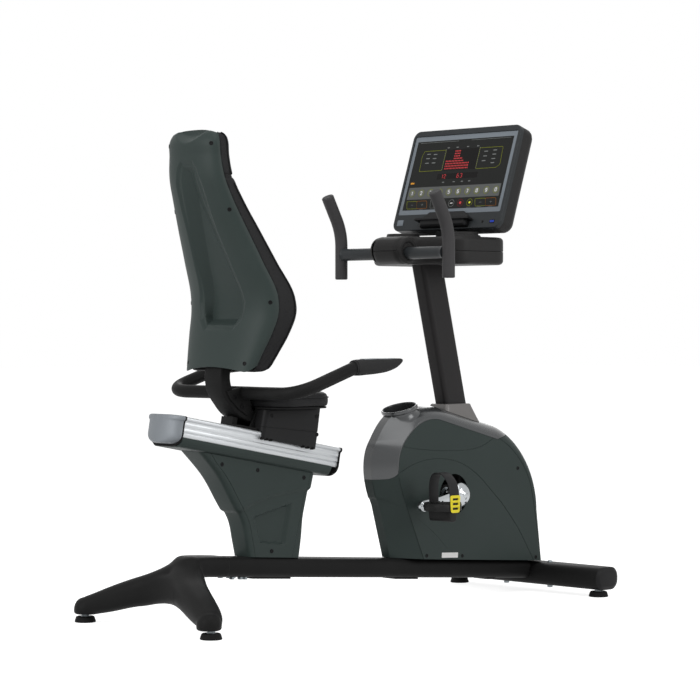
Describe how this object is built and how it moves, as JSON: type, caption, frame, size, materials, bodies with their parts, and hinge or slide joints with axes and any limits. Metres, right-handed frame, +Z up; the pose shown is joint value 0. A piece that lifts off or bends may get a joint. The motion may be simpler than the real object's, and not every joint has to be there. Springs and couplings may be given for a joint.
{
  "type": "recumbent exercise bike",
  "caption": "Recumbent exercise bike: sliding seat with backrest on an inclined rail, shrouded drive with cranks and strapped pedals, and a console with handlebars on a leaning mast.",
  "frame": {"origin": "on the floor, at the middle of the whole bike's bounding box", "axes": "+X the way the rider faces, +Y the rider's left, +Z up"},
  "size_m": [1.597, 0.64, 1.4035],
  "materials": {
    "aluminium": "anodised",
    "buckle": "moulded yellow",
    "cap": "moulded, silver grey",
    "chrome": "plated",
    "cover": "moulded, fine grain",
    "fairing": "glossy metallic grey",
    "frame": "satin black paint",
    "glass": "printed dark window",
    "iron": "turned",
    "plastic": "moulded black",
    "rubber": "moulded",
    "steel": "machined",
    "upholstery": "stitched synthetic leather"
  },
  "bodies": {
    "frame": {"main_beam": "frame", "rear_stabiliser": "frame", "front_stabiliser": "frame", "front_end_cap_left": "plastic", "front_end_cap_right": "plastic", "pedestal_frame": "frame", "pedestal_cover_left": "cover", "pedestal_cover_right": "cover", "rail_channel": "cover", "seat_rail": "aluminium", "rail_seal_rear": "rubber", "rail_cap_rear": "cap", "rail_cap_front": "rubber", "housing_cover_left": "cover", "housing_cover_right": "cover", "top_fairing": "fairing", "mast_boot": "fairing", "mast": "frame", "drive_frame": "frame", "crank_bearing_left": "steel", "crank_bearing_right": "steel", "drive_belt": "rubber", "brake_magnet": "steel", "pod_lower": "plastic", "pod_upper": "plastic", "console_handlebar": "frame", "console_neck": "frame", "console_bezel": "plastic", "console_back": "plastic", "display_glass": "glass", "tablet_rest": "plastic"},
    "seat": {"carriage_frame": "frame", "carriage_cover": "plastic", "seat_cushion": "upholstery", "backrest_arm": "frame", "seat_handlebar": "frame", "seat_grip_left": "plastic", "seat_grip_right": "plastic", "backrest_board": "plastic", "backrest_shell": "cover", "backrest_cushion": "upholstery", "head_cushion": "upholstery"},
    "seat_lever": {"seat_lever": "plastic"},
    "crank": {"crank_spindle": "steel", "crank_pulley": "plastic", "crank_right": "chrome", "crank_left": "chrome"},
    "pedal_right": {"pedal_right": "plastic", "pedal_strap_right": "plastic", "strap_buckle_right": "buckle"},
    "pedal_left": {"pedal_left": "plastic", "pedal_strap_left": "plastic", "strap_buckle_left": "buckle"},
    "flywheel": {"flywheel": "iron", "flywheel_shaft": "steel"},
    "rear_foot_left": {"rear_foot_left": "rubber"},
    "rear_foot_right": {"rear_foot_right": "rubber"},
    "front_foot_left": {"front_foot_left": "rubber"},
    "front_foot_right": {"front_foot_right": "rubber"}
  },
  "joints": [
    {"name": "seat_slide", "type": "slide", "parent": "frame", "child": "seat", "axis": [0.9839, 0, -0.1788], "range_m": [-0.17, 0.065]},
    {"name": "lever_pivot", "type": "hinge", "parent": "seat", "child": "seat_lever", "pos_m": [-0.3125, 0.06, 0.548], "axis": [0, 1, 0], "range_deg": [0, 20], "stiffness_Nm_per_rad": 3, "springref_deg": -20.05},
    {"name": "crank_spin", "type": "hinge", "parent": "frame", "child": "crank", "pos_m": [0.3475, 0, 0.314], "axis": [0, 1, 0], "continuous": true},
    {"name": "pedal_right_spin", "type": "hinge", "parent": "crank", "child": "pedal_right", "pos_m": [0.1844, -0.174, 0.28904], "axis": [0, 1, 0], "continuous": true},
    {"name": "pedal_left_spin", "type": "hinge", "parent": "crank", "child": "pedal_left", "pos_m": [0.5106, 0.174, 0.33896], "axis": [0, 1, 0], "continuous": true},
    {"name": "flywheel_spin", "type": "hinge", "parent": "frame", "child": "flywheel", "pos_m": [0.5795, 0, 0.236], "axis": [0, 1, 0], "continuous": true},
    {"name": "rear_foot_left_screw", "type": "slide", "parent": "frame", "child": "rear_foot_left", "axis": [0, 0, -1], "range_m": [0, 0.012]},
    {"name": "rear_foot_right_screw", "type": "slide", "parent": "frame", "child": "rear_foot_right", "axis": [0, 0, -1], "range_m": [0, 0.012]},
    {"name": "front_foot_left_screw", "type": "slide", "parent": "frame", "child": "front_foot_left", "axis": [0, 0, -1], "range_m": [0, 0.012]},
    {"name": "front_foot_right_screw", "type": "slide", "parent": "frame", "child": "front_foot_right", "axis": [0, 0, -1], "range_m": [0, 0.012]}
  ],
  "couplings": [
    {"joint": "flywheel_spin", "follows": "crank_spin", "ratio": 4.5}
  ]
}
